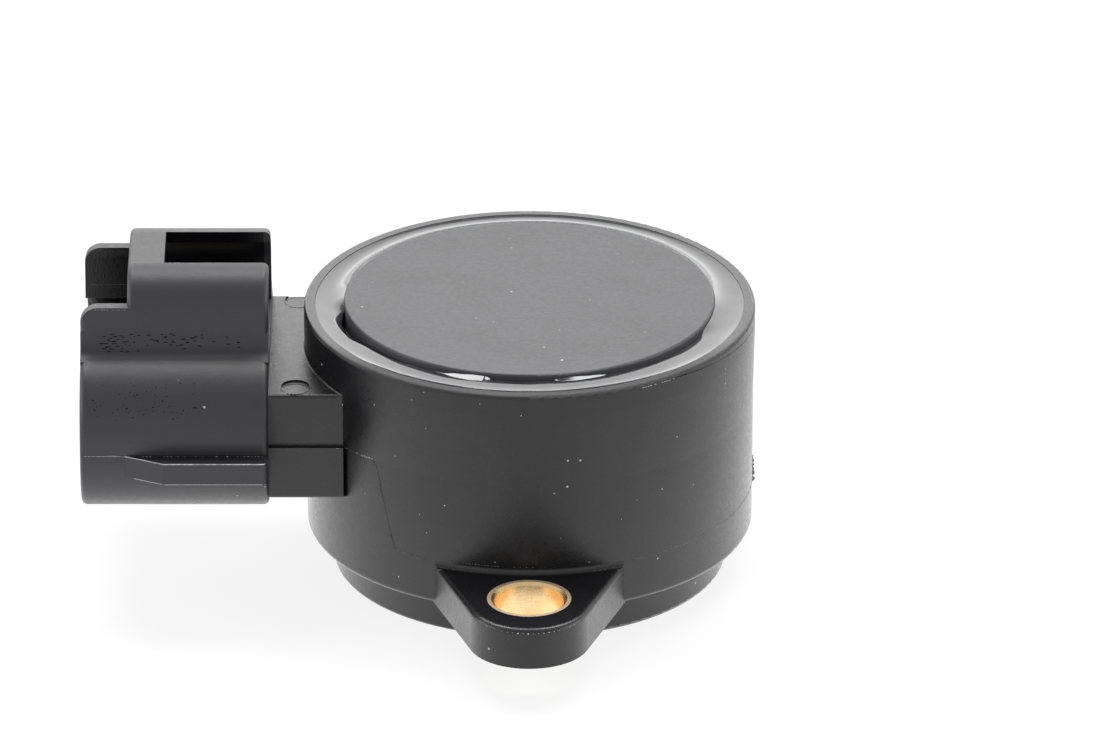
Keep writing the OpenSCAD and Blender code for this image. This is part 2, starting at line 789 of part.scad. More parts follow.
module rotor() {
    journal_r = bearing_d / 2 - bearing_clear;
    color([0.20, 0.20, 0.22]) difference() {
        union() {
            rotate_extrude($fn = big_fn) polygon([
                [0, rotor_z0], [journal_r - 0.4, rotor_z0], [journal_r, rotor_z0 + 0.4], [journal_r, disc_z0],
                [disc_r, disc_z0], [disc_r, disc_z1], [hub_r, disc_z1], [hub_r, hub_z1],
                [pivot_r, hub_z1], [pivot_r, board_top + 0.6], [0, board_top + 0.6]
            ]);
            translate([0, 0, disc_z0]) linear_extrude(disc_t)
                sector(disc_r - 1, lug_r, lug_rest - lug_half, lug_rest + lug_half);
            for (a = [wiper_rest, idle_rest]) wiper_stakes(a);
        }
        drive_slot();
        // hole for the spring's upper leg
        rotate(coil_start + coil_turns * 360) translate([coil_r, 0, disc_z0 - 1])
            cylinder(h = disc_t, r = wire_r + hook_clear, $fn = small_fn);
        // lightening pockets between the spring and the rim
        for (a = [60:60:300]) rotate(lug_rest + a) translate([0, 0, disc_z0 - 1])
            linear_extrude(disc_t / 2 + 1) sector(hub_r + 2.6, disc_r - 4.6, -14, 14);
    }
}

// Two plastic stakes that hold a wiper plate down
module wiper_stakes(a) {
    rotate(a) for (r = [inner_track_r + 0.2, outer_track_r - 1.3])
        translate([r, -finger_len - 0.8, disc_z1 - 0.5]) cylinder(h = 0.5 + wiper_t, r = 0.4, $fn = small_fn);
}

// Spring finger seen from the side, in (tangent, Z)
module finger_side() {
    tip_z = board_z - film_t - contact_gap - tip_r;
    polygon([
        [-finger_len, disc_z1], [0.3 - finger_len, disc_z1], [0.15, tip_z - 0.15], [0, tip_z + 0.18],
        [-0.3, tip_z + 0.1], [-finger_len, disc_z1 + wiper_t]
    ]);
    translate([0, tip_z]) circle(tip_r, $fn = small_fn);
}

// Wiper with two pairs of fingers, which bridges the inner and outer tracks
module wiper(a) {
    color([0.85, 0.72, 0.42]) rotate(a) difference() {
        union() {
            translate([0, 0, disc_z1]) linear_extrude(wiper_t) intersection() {
                translate([inner_track_r - 0.9, -finger_len - plate_w + 0.2])
                    square([outer_track_r - inner_track_r + 1.9, plate_w]);
                circle(disc_r - 0.2, $fn = big_fn);
            }
            for (r = [inner_track_r, outer_track_r], side = [-1, 1])
                translate([r + side * finger_gap / 2 - finger_w / 2, 0, 0])
                    rotate([90, 0, 90]) linear_extrude(finger_w) finger_side();
        }
        translate([0, 0, 0]) rotate(-a) wiper_stakes(a);
    }
}

module signal_wiper() { wiper(wiper_rest); }
module idle_wiper() { wiper(idle_rest); }

// The wire's path: a straight lower leg, the coil, and an upright hook into the disc
coil_steps = 26;
coil_points = round(coil_steps * coil_turns);
function turn_at(i) = coil_start + 360 * coil_turns * i / coil_points;
function spring_point(i) =
    i < 0 ? coil_r * radial(coil_start) + anchor_leg * [sin(coil_start), -cos(coil_start), 0] + [0, 0, coil_z0]
    : i <= coil_points ? coil_r * radial(turn_at(i)) + [0, 0, coil_z0 + (coil_z1 - coil_z0) * i / coil_points]
    : coil_r * radial(turn_at(coil_points)) + [0, 0, disc_z0 + hook_up];
function radial(a) = [cos(a), sin(a), 0];
function path_axis(i) =
    i < 0 ? spring_point(0) - spring_point(-1)
    : i > coil_points ? [0, 0, 1]
    : i == coil_points ? spring_point(i) - spring_point(i - 1) + [0, 0, 1.6]
    : spring_point(i + 1) - spring_point(max(i - 1, -1));
function wire_ring(i) =
    let (
        side = radial(turn_at(min(max(i, 0), coil_points))),
        dir = path_axis(i) / norm(path_axis(i)),
        up = cross(dir, side)
    )
    [for (k = [0:7]) spring_point(i) + wire_r * (cos(45 * k) * side + sin(45 * k) * up)];

module return_spring() {
    rings = [for (i = [-1:coil_points + 1]) wire_ring(i)];
    last = len(rings) - 1;
    color([0.70, 0.71, 0.73]) polyhedron(
        points = [for (ring = rings) each ring],
        faces = concat(
            [[for (k = [7:-1:0]) k]],
            [for (i = [0:last - 1], k = [0:7]) let (n = (k + 1) % 8)
                [8 * i + k, 8 * i + n, 8 * i + 8 + n, 8 * i + 8 + k]],
            [[for (k = [0:7]) 8 * last + k]]
        )
    );
}

module shaft_seal() {
    lip_r = bearing_d / 2 + 0.06;
    r_out = seal_d / 2;
    z1 = seal_z0 + seal_h;
    color([0.10, 0.10, 0.10]) rotate_extrude($fn = big_fn) polygon([
        [lip_r, seal_z0 + 0.5], [lip_r + 0.5, seal_z0], [r_out, seal_z0], [r_out, z1],
        [lip_r + 0.9, z1], [lip_r + 0.9, seal_z0 + 1.4], [lip_r, seal_z0 + 0.9]
    ]);
}

module thrust_washer() {
    color([0.83, 0.80, 0.70]) translate([0, 0, bearing_z1]) linear_extrude(washer_t) difference() {
        circle(boss_r - 0.1, $fn = big_fn);
        circle(bearing_d / 2 + 0.1, $fn = big_fn);
    }
}

// Dished washer that takes up the play between hub and board
module spring_washer() {
    r0 = pivot_r + 0.15;
    r1 = hub_r - 0.2;
    t = 0.25;
    z0 = hub_z1 + 0.05;
    z1 = board_z - 0.05;
    color([0.66, 0.67, 0.70]) rotate_extrude($fn = mid_fn) polygon([
        [r0, z1 - t], [r0, z1], [r0 + 0.3, z1], [r1, z0 + t], [r1, z0], [r1 - 0.3, z0]
    ]);
}

housing();
back_cover();
potting_ring();
front_bush();
rear_bush();
terminal_1();
terminal_2();
terminal_3();
terminal_4();
solder_joint_1();
solder_joint_2();
solder_joint_3();
solder_joint_4();
track_board();
resistor_track();
supply_track();
ground_track();
signal_track();
idle_track();
rotor();
signal_wiper();
idle_wiper();
return_spring();
shaft_seal();
thrust_washer();
spring_washer();
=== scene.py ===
import bpy
import math
import random
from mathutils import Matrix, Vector, noise


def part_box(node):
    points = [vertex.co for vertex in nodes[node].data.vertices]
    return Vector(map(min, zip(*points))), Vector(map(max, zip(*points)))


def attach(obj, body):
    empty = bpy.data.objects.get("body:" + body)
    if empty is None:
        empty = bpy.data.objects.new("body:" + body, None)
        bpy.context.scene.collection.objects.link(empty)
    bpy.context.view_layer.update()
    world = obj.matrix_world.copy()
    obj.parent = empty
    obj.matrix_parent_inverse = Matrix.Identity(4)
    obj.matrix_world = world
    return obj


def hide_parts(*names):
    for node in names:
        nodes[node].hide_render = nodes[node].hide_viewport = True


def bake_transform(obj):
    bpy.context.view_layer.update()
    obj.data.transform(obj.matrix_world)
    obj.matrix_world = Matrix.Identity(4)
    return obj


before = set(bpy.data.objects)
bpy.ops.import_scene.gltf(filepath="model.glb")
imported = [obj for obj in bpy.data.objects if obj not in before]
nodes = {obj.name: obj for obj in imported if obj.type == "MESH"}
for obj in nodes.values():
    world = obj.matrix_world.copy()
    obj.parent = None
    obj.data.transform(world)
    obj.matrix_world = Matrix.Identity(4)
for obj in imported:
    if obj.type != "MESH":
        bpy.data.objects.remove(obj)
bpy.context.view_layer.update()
mm = 0.001
print("frame loaded:", len(nodes), "nodes")

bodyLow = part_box("housing")[0]
resinLow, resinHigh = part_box("potting_ring")


# Shader helpers

def newFinish(name):
    finish = bpy.data.materials.new(name)
    finish.use_nodes = True
    return finish, finish.node_tree, finish.node_tree.nodes["Principled BSDF"]


def wire(tree, source, target):
    tree.links.new(source, target)
    return source


def mmCoords(tree):
    # object coordinates in millimetres, so every scale below is per millimetre
    where = tree.nodes.new("ShaderNodeTexCoord")
    scaled = tree.nodes.new("ShaderNodeMapping")
    scaled.inputs["Scale"].default_value = (1000, 1000, 1000)
    wire(tree, where.outputs["Object"], scaled.inputs["Vector"])
    return scaled.outputs["Vector"]


def noiseAt(tree, coords, scale, detail=3, rough=0.55):
    cloud = tree.nodes.new("ShaderNodeTexNoise")
    cloud.inputs["Scale"].default_value = scale
    cloud.inputs["Detail"].default_value = detail
    cloud.inputs["Roughness"].default_value = rough
    wire(tree, coords, cloud.inputs["Vector"])
    return cloud.outputs["Fac"]


def ramp(tree, value, low, high, outLow=0.0, outHigh=1.0):
    span = tree.nodes.new("ShaderNodeMapRange")
    for socket, number in (("From Min", low), ("From Max", high), ("To Min", outLow), ("To Max", outHigh)):
        span.inputs[socket].default_value = number
    wire(tree, value, span.inputs["Value"])
    return span.outputs["Result"]


def combine(tree, operation, first, second):
    sums = tree.nodes.new("ShaderNodeMath")
    sums.operation = operation
    for slot, item in enumerate((first, second)):
        if isinstance(item, (int, float)):
            sums.inputs[slot].default_value = item
        else:
            wire(tree, item, sums.inputs[slot])
    return sums.outputs[0]


def blendColours(tree, amount, first, second):
    mix = tree.nodes.new("ShaderNodeMix")
    mix.data_type = "RGBA"
    wire(tree, amount, mix.inputs["Factor"])
    for slot, item in (("A", first), ("B", second)):
        socket = [s for s in mix.inputs if s.name == slot and s.type == "RGBA"][0]
        if isinstance(item, tuple):
            socket.default_value = item + (1,)
        else:
            wire(tree, item, socket)
    return [s for s in mix.outputs if s.type == "RGBA"][0]


def specksAt(tree, coords, perMm, radius, share):
    # small dots in some cells of a cell texture
    cells = tree.nodes.new("ShaderNodeTexVoronoi")
    cells.inputs["Scale"].default_value = perMm
    wire(tree, coords, cells.inputs["Vector"])
    parts = tree.nodes.new("ShaderNodeSeparateColor")
    wire(tree, cells.outputs["Color"], parts.inputs["Color"])
    chosen = ramp(tree, parts.outputs["Red"], 1 - share, 1 - share + 0.01)
    size = combine(tree, "MULTIPLY", parts.outputs["Green"], radius)
    inside = combine(tree, "LESS_THAN", cells.outputs["Distance"], size)
    return combine(tree, "MULTIPLY", chosen, inside)


def sharpEdges(tree, width, low, high):
    # 0 on flat faces, up to 1 on convex and concave edges within the width
    soft = tree.nodes.new("ShaderNodeBevel")
    soft.samples = 6
    soft.inputs["Radius"].default_value = width
    plain = tree.nodes.new("ShaderNodeNewGeometry")
    dot = tree.nodes.new("ShaderNodeVectorMath")
    dot.operation = "DOT_PRODUCT"
    wire(tree, soft.outputs["Normal"], dot.inputs[0])
    wire(tree, plain.outputs["Normal"], dot.inputs[1])
    return ramp(tree, combine(tree, "SUBTRACT", 1.0, dot.outputs["Value"]), low, high)


def bandMask(tree, coords, axis, low, high, fade):
    # 1 between low and high along an axis, in millimetres
    parts = tree.nodes.new("ShaderNodeSeparateXYZ")
    wire(tree, coords, parts.inputs["Vector"])
    value = parts.outputs[axis]
    rise = ramp(tree, value, low - fade, low + fade)
    fall = ramp(tree, value, high - fade, high + fade, 1.0, 0.0)
    return combine(tree, "MULTIPLY", rise, fall)


def bumpFrom(tree, height, depth, strength, before=None):
    bump = tree.nodes.new("ShaderNodeBump")
    bump.inputs["Strength"].default_value = strength
    bump.inputs["Distance"].default_value = depth
    wire(tree, height, bump.inputs["Height"])
    if before is not None:
        wire(tree, before, bump.inputs["Normal"])
    return bump.outputs["Normal"]


# Where the housing's finish changes, in millimetres: low end, high end and fade of each band
finishBands = {
    "core": (-40.0, -23.0, 0.1), "skin": (-41.0, -22.3, 0.2), "valley": (18.7, 19.9, 0.15),
    "earBlend": (3.5, 4.3, 0.1), "rim": (20.1, 21.0, 0.05), "rimFront": (-25.0, -11.0, 3.0),
    # the ledge band keeps the dark colour as painted shade
    "ledgeInShade": (11.78, 11.95, 0.04),
}
shroudMiddle = (0, -0.6, 11.0)
earBlendEnd = (20.0, 20.4)


def shroudInside(tree, coords):
    # 1 on the walls that face into the shroud: the core that formed them was polished, and they are painted
    #                                           darker as shade
    where = tree.nodes.new("ShaderNodeTexCoord")
    inward = tree.nodes.new("ShaderNodeVectorMath")
    inward.operation = "SUBTRACT"
    inward.inputs[0].default_value = shroudMiddle
    wire(tree, coords, inward.inputs[1])
    across = tree.nodes.new("ShaderNodeVectorMath")
    across.operation = "MULTIPLY"
    across.inputs[1].default_value = (0, 1, 1)
    wire(tree, inward.outputs["Vector"], across.inputs[0])
    dot = tree.nodes.new("ShaderNodeVectorMath")
    dot.operation = "DOT_PRODUCT"
    wire(tree, across.outputs["Vector"], dot.inputs[0])
    wire(tree, where.outputs["Normal"], dot.inputs[1])
    facingIn = ramp(tree, dot.outputs["Value"], 0.5, 1.5)
    return combine(tree, "MULTIPLY", facingIn, bandMask(tree, coords, "X", *finishBands["core"]))


def shroudSkin(tree, coords):
    # 1 on the connector, whose half of the mould had a coarser skin
    outside = combine(tree, "SUBTRACT", 1.0, shroudInside(tree, coords))
    return combine(tree, "MULTIPLY", bandMask(tree, coords, "X", *finishBands["skin"]), outside)


def hollowBlends(tree, coords):
    # 1 in the hollow blend between the cup and an ear, and beside the latch tunnel
    valley = combine(tree, "MULTIPLY", bandMask(tree, coords, "Z", *finishBands["valley"]),
                     shroudSkin(tree, coords))
    parts = tree.nodes.new("ShaderNodeSeparateXYZ")
    wire(tree, coords, parts.inputs["Vector"])
    squares = combine(tree, "ADD", combine(tree, "MULTIPLY", parts.outputs["X"], parts.outputs["X"]),
                      combine(tree, "MULTIPLY", parts.outputs["Y"], parts.outputs["Y"]))
    radius = combine(tree, "SQRT", squares, 0.0)
    nearCup = ramp(tree, radius, *earBlendEnd, 1.0, 0.0)
    atEar = combine(tree, "MULTIPLY", nearCup, bandMask(tree, coords, "Z", *finishBands["earBlend"]))
    return combine(tree, "MAXIMUM", atEar, valley)


def mouldedPlastic(name, look, polishedAndShaded=None):
    finish, tree, shader = newFinish(name)
    coords = mmCoords(tree)
    mottle = ramp(tree, noiseAt(tree, coords, look["mottle"], 5), 0.35, 0.65)
    colour = blendColours(tree, mottle, look["dark"], look["light"])
    fibre = ramp(tree, noiseAt(tree, coords, 9.0, 2), 0.60, 0.72, 0, 0.5)
    colour = blendColours(tree, fibre, colour, look["fibre"])
    # painted highlight, partly wear: the edge colour is mixed in along convex and concave edges, in patches
    edges = sharpEdges(tree, look["edgeWidth"], 0.02, 0.30)
    edgeHighlightAndWear = combine(tree, "MULTIPLY", edges, ramp(tree, noiseAt(tree, coords, 1.3, 4), 0.3, 0.7, 0.25, 1.0))
    # painted light: upright faces take the lighter side colour
    if "side" in look:
        facing = tree.nodes.new("ShaderNodeSeparateXYZ")
        where = tree.nodes.new("ShaderNodeTexCoord")
        wire(tree, where.outputs["Normal"], facing.inputs["Vector"])
        sideLightMask = ramp(tree, combine(tree, "ABSOLUTE", facing.outputs["Z"], 0.0), 0.2, 0.5, 1.0, 0.0)
        colour = blendColours(tree, sideLightMask, colour, look["side"])
    if polishedAndShaded is not None:
        # the painted edge highlight is left off in the hollow blends
        edgeHighlightLeftOff = hollowBlends(tree, coords)
        edgeHighlightAndWear = combine(tree, "MULTIPLY", edgeHighlightAndWear, combine(tree, "SUBTRACT", 1.0, edgeHighlightLeftOff))
    colour = blendColours(tree, combine(tree, "MULTIPLY", edgeHighlightAndWear, look["edgeShare"]), colour, look["edge"])
    grain = noiseAt(tree, coords, look["grain"], 4, 0.7)
    normal = bumpFrom(tree, grain, look["grainDepth"], 0.55)
    rough = ramp(tree, noiseAt(tree, coords, 2.2, 3), 0.3, 0.7, look["rough"] - 0.04, look["rough"] + 0.05)
    if polishedAndShaded is not None:
        inside = polishedAndShaded(tree, coords)
        frontRim = combine(tree, "MULTIPLY", bandMask(tree, coords, "Z", *finishBands["rim"]),
                           bandMask(tree, coords, "Y", *finishBands["rimFront"]))
        rough = combine(tree, "ADD", rough, combine(tree, "MULTIPLY", look["rimRough"], frontRim))
        skin = shroudSkin(tree, coords)
        rough = combine(tree, "ADD", rough, combine(tree, "MULTIPLY", skin, look["skinRough"]))
        # painted shade: the rail's top ledge keeps the dark colour, as if shaded by the shroud wall above
        ledgeShadeMask = bandMask(tree, coords, "Z", *finishBands["ledgeInShade"])
        skinOffLedgeShade = combine(tree, "SUBTRACT", skin, combine(tree, "MULTIPLY", skin, ledgeShadeMask))
        colour = blendColours(tree, skinOffLedgeShade, colour, look["skin"])
        rough = combine(tree, "MULTIPLY", rough, ramp(tree, inside, 0.0, 1.0, 1.0, look["insideRough"]))
        # painted shade: the inside walls take the darker inside colour
        colour = blendColours(tree, inside, colour, look["inside"])
    dust = specksAt(tree, coords, look["dustPerMm"], 0.10, look["dustShare"])
    colour = blendColours(tree, combine(tree, "MULTIPLY", dust, 0.75), colour, look["dust"])
    wire(tree, colour, shader.inputs["Base Color"])
    wire(tree, rough, shader.inputs["Roughness"])
    wire(tree, normal, shader.inputs["Normal"])
    shader.inputs["IOR"].default_value = look["ior"]
    return finish


def paint(names, finish):
    for name in names:
        node = nodes[name]
        node.data.materials.clear()
        node.data.materials.append(finish)


# Housing: glass filled, fine matte, grey dust in the texture

housingLook = {
    "dark": (0.0035, 0.0035, 0.0045), "light": (0.006, 0.006, 0.0075), "fibre": (0.013, 0.013, 0.016),
    "mottle": 0.35, "grain": 7.0, "grainDepth": 0.00003, "rough": 0.30, "ior": 1.50,
    # edge: the painted highlight colour for edges, partly wear
    "edge": (0.14, 0.14, 0.16), "edgeShare": 0.30, "edgeWidth": 0.16 * mm,
    # inside: a darker colour, painted shade inside the shroud
    "inside": (0.003, 0.003, 0.004), "insideRough": 0.45, "rimRough": 0.30,
    "skin": (0.019, 0.019, 0.022), "skinRough": 0.12,
    "dust": (0.5, 0.5, 0.5), "dustPerMm": 0.9, "dustShare": 0.12,
}
paint(["housing"], mouldedPlastic("housingPlastic", housingLook, shroudInside))


# Lid: same plastic family, greyer, with a fine matte skin; its upright sides are painted lighter, a painted
# light

lidLook = dict(housingLook, dark=(0.014, 0.014, 0.017), light=(0.024, 0.024, 0.028),
               fibre=(0.06, 0.06, 0.07), mottle=0.18, rough=0.42, dustPerMm=0.7, side=(0.055, 0.055, 0.06))
paint(["back_cover"], mouldedPlastic("lidPlastic", lidLook))

rotorLook = dict(housingLook, dark=(0.035, 0.035, 0.038), light=(0.05, 0.05, 0.055), dustShare=0.02)
paint(["rotor"], mouldedPlastic("rotorPlastic", rotorLook))


# Bushes and terminals

def bushFace(tree, coords):
    # 1 on the ring that faces up or down, and the distance from the bush's axis in millimetres
    where = tree.nodes.new("ShaderNodeTexCoord")
    parts = tree.nodes.new("ShaderNodeSeparateXYZ")
    wire(tree, where.outputs["Normal"], parts.inputs["Vector"])
    level = ramp(tree, combine(tree, "ABSOLUTE", parts.outputs["Z"], 0.0), 0.7, 0.8)
    place = tree.nodes.new("ShaderNodeSeparateXYZ")
    wire(tree, coords, place.inputs["Vector"])
    fromAxis = combine(tree, "SUBTRACT", combine(tree, "ABSOLUTE", place.outputs["Y"], 0.0), 24.0)
    squares = combine(tree, "ADD", combine(tree, "MULTIPLY", fromAxis, fromAxis),
                      combine(tree, "MULTIPLY", place.outputs["X"], place.outputs["X"]))
    return level, combine(tree, "SQRT", squares, 0.0)


def machinedMetal(name, look):
    finish, tree, shader = newFinish(name)
    coords = mmCoords(tree)
    rings = tree.nodes.new("ShaderNodeMapping")
    rings.inputs["Scale"].default_value = look["stretch"]
    wire(tree, coords, rings.inputs["Vector"])
    lines = noiseAt(tree, rings.outputs["Vector"], look["lines"], 3, 0.6)
    tint = ramp(tree, noiseAt(tree, coords, 0.9, 4), 0.35, 0.7)
    colour = blendColours(tree, tint, look["base"], look["stain"])
    edges = sharpEdges(tree, 0.12 * mm, 0.05, 0.4)
    colour = blendColours(tree, combine(tree, "MULTIPLY", edges, look["edgeShare"]), colour, look["edge"])
    rough = ramp(tree, lines, 0.3, 0.7, look["rough"] - 0.06, look["rough"] + 0.1)
    if "face" in look:
        level, radius = bushFace(tree, coords)
        colour = blendColours(tree, level, colour, look["face"])
        # painted shade: a thin dark ring on the bush's faces along the bore's edge
        groove = combine(tree, "MULTIPLY", ramp(tree, radius, look["grooveAt"] - 0.05, look["grooveAt"]),
                         ramp(tree, radius, look["grooveAt"] + 0.05, look["grooveAt"] + 0.1, 1.0, 0.0))
        colour = blendColours(tree, combine(tree, "MULTIPLY", combine(tree, "MULTIPLY", groove, level), 0.8),
                              colour, look["groove"])
        rough = combine(tree, "ADD", rough, combine(tree, "MULTIPLY", level, look["faceRough"]))
        # painted shade: the bore wall's outer half is painted dark
        place = tree.nodes.new("ShaderNodeSeparateXYZ")
        wire(tree, coords, place.inputs["Vector"])
        outer = ramp(tree, combine(tree, "ABSOLUTE", place.outputs["Y"], 0.0), 24.3, 25.6)
        outerBoreShade = combine(tree, "MULTIPLY", outer, combine(tree, "SUBTRACT", 1.0, level))
        colour = blendColours(tree, outerBoreShade, colour, look["outerBoreShade"])
    wire(tree, colour, shader.inputs["Base Color"])
    wire(tree, rough, shader.inputs["Roughness"])
    wire(tree, bumpFrom(tree, lines, 0.00001, 0.4), shader.inputs["Normal"])
    shader.inputs["Metallic"].default_value = 1.0
    return finish


brassLook = {"base": (0.92, 0.68, 0.38), "stain": (0.86, 0.57, 0.27),
             "edge": (0.42, 0.25, 0.12), "edgeShare": 0.55,
             "stretch": (0.3, 0.3, 6.0), "lines": 2.2, "rough": 0.24,
             "face": (0.60, 0.47, 0.34), "faceRough": 0.45, "groove": (0.14, 0.08, 0.04), "grooveAt": 3.18,
             "outerBoreShade": (0.05, 0.035, 0.02)}
paint(["front_bush", "rear_bush"], machinedMetal("turnedBrass", brassLook))
tinLook = {"base": (0.62, 0.58, 0.48), "stain": (0.50, 0.44, 0.32),
           "edge": (0.75, 0.72, 0.64), "edgeShare": 0.4,
           "stretch": (6.0, 0.4, 0.4), "lines": 1.8, "rough": 0.34}
paint(["terminal_1", "terminal_2", "terminal_3", "terminal_4"], machinedMetal("tinnedBrass", tinLook))
bronzeLook = dict(tinLook, base=(0.80, 0.60, 0.32), stain=(0.66, 0.46, 0.22), rough=0.3)
paint(["signal_wiper", "idle_wiper"], machinedMetal("springBronze", bronzeLook))
steelLook = dict(tinLook, base=(0.58, 0.58, 0.60), stain=(0.46, 0.46, 0.48), edge=(0.3, 0.3, 0.3), rough=0.32)
paint(["return_spring", "spring_washer"], machinedMetal("springSteel", steelLook))
solderLook = dict(tinLook, base=(0.62, 0.63, 0.65), stain=(0.48, 0.49, 0.50), stretch=(1, 1, 1), rough=0.28)
paint(["solder_joint_%d" % n for n in (1, 2, 3, 4)], machinedMetal("solder", solderLook))
silverLook = dict(solderLook, base=(0.70, 0.70, 0.71), stain=(0.56, 0.55, 0.52), rough=0.4)
paint(["supply_track", "ground_track", "signal_track", "idle_track"],
      machinedMetal("silverPrint", silverLook))


# Parts inside the cup

def drySurface(name, look):
    finish, tree, shader = newFinish(name)
    coords = mmCoords(tree)
    patches = ramp(tree, noiseAt(tree, coords, look["patch"], 5), 0.35, 0.65)
    wire(tree, blendColours(tree, patches, look["dark"], look["light"]), shader.inputs["Base Color"])
    wire(tree, ramp(tree, noiseAt(tree, coords, 3.0, 3), 0.3, 0.7,
                    look["rough"] - 0.05, look["rough"] + 0.05), shader.inputs["Roughness"])
    wire(tree, bumpFrom(tree, noiseAt(tree, coords, look["grain"], 4), 0.00002, 0.4), shader.inputs["Normal"])
    shader.inputs["Specular IOR Level"].default_value = look.get("gloss", 0.5)
    return finish


paint(["track_board"], drySurface("boardCeramic", {
    "dark": (0.70, 0.66, 0.56), "light": (0.78, 0.75, 0.67), "patch": 0.5, "grain": 8, "rough": 0.6}))
paint(["resistor_track"], drySurface("carbonPrint", {
    "dark": (0.012, 0.012, 0.013), "light": (0.028, 0.028, 0.03), "patch": 2.0, "grain": 14, "rough": 0.55}))
paint(["shaft_seal"], drySurface("sealRubber", {
    "dark": (0.014, 0.014, 0.014), "light": (0.024, 0.024, 0.023), "patch": 0.8, "grain": 5, "rough": 0.68}))
paint(["thrust_washer"], drySurface("washerNylon", {
    "dark": (0.66, 0.62, 0.50), "light": (0.74, 0.71, 0.60), "patch": 0.6, "grain": 6, "rough": 0.45}))
print("finishes on the solids")


# Return spring: a copy of its mesh stands in for the part, which is hidden

spring = bpy.data.objects.new("woundSpring", nodes["return_spring"].data.copy())
bpy.context.scene.collection.objects.link(spring)
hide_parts("return_spring")
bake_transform(spring)


# Casting resin in the groove: it climbs both walls, and has drawn back from the lid at one side

resinLook = {
    "steps": 480, "across": 56,
    # angle, then heights in mm above the rim: beside the lid, in the hollow, at the rim;
    # how far the inner slope reaches between lid and rim, and how sharply it bends
    "form": (
        (0, 0.20, -0.18, -0.03, 0.60, 2.0), (60, 0.36, -0.14, -0.02, 0.74, 2.0),
        (120, 0.36, -0.14, -0.02, 0.74, 2.0), (165, 0.32, -0.18, -0.04, 0.62, 2.0),
        (177, 0.18, -0.18, -0.04, 0.55, 2.0), (190, -0.60, -0.14, -0.04, 0.35, 1.6),
        (205, -0.80, -0.10, -0.04, 0.30, 1.4), (213, -0.50, -0.10, -0.04, 0.25, 1.5),
        (228, -0.40, -0.15, -0.03, 0.15, 1.4), (233, -0.20, -0.14, -0.03, 0.03, 1.2),
        (237, -0.10, -0.13, -0.02, 0.058, 1.1), (242, -0.03, -0.13, -0.02, 0.12, 1.1),
        (248, 0.09, -0.12, -0.01, 0.21, 1.05), (253, 0.17, -0.09, -0.01, 0.25, 1.0),
        (256, 0.15, -0.08, -0.01, 0.22, 1.0), (260, -0.08, -0.07, 0.0, 0.02, 1.2),
        (276, -0.08, -0.07, 0.0, 0.02, 1.2), (280, 0.10, -0.09, -0.01, 0.13, 1.0),
        (284, 0.10, -0.10, -0.01, 0.15, 1.05), (290, 0.02, -0.11, -0.01, 0.11, 1.1),
        (296, -0.06, -0.11, -0.02, 0.06, 1.1), (301, -0.12, -0.10, -0.02, 0.03, 1.2),
        (308, -0.25, -0.10, -0.03, 0.15, 1.4), (330, -0.22, -0.12, -0.04, 0.35, 1.8),
        (346, 0.08, -0.17, -0.04, 0.55, 2.0), (360, 0.20, -0.18, -0.03, 0.60, 2.0),
    ),
    "lidRadius": 16.0 * mm, "lidGap": 0.02 * mm, "rimGap": 0.01 * mm,
    "rimAbove": 0.45 * mm, "footAbove": 1.15 * mm, "crowding": 1.4,
    "voidFrom": 182, "voidTo": 214, "voidGap": 0.50 * mm,
    "dip": 0.04, "dipFrom": 0.20, "dipTo": 0.62, "riseFrom": 0.60, "risePower": 2.5,
    "dark": (0.020, 0.020, 0.022), "light": (0.032, 0.032, 0.036), "rough": 0.09, "gloss": 0.75,
}


def easing(value, low, high):
    share = min(1.0, max(0.0, (value - low) / (high - low)))
    return share * share * (3 - 2 * share)


def angleBump(angle, centre, half):
    away = abs((angle - centre + 180) % 360 - 180)
    return 0.0 if away >= half else 0.5 + 0.5 * math.cos(math.pi * away / half)


def resinForm(angle):
    rows = resinLook["form"]
    for low, high in zip(rows, rows[1:]):
        if low[0] <= angle <= high[0]:
            share = 0.5 - 0.5 * math.cos(math.pi * (angle - low[0]) / (high[0] - low[0]))
            return [a + (b - a) * share for a, b in zip(low[1:], high[1:])]


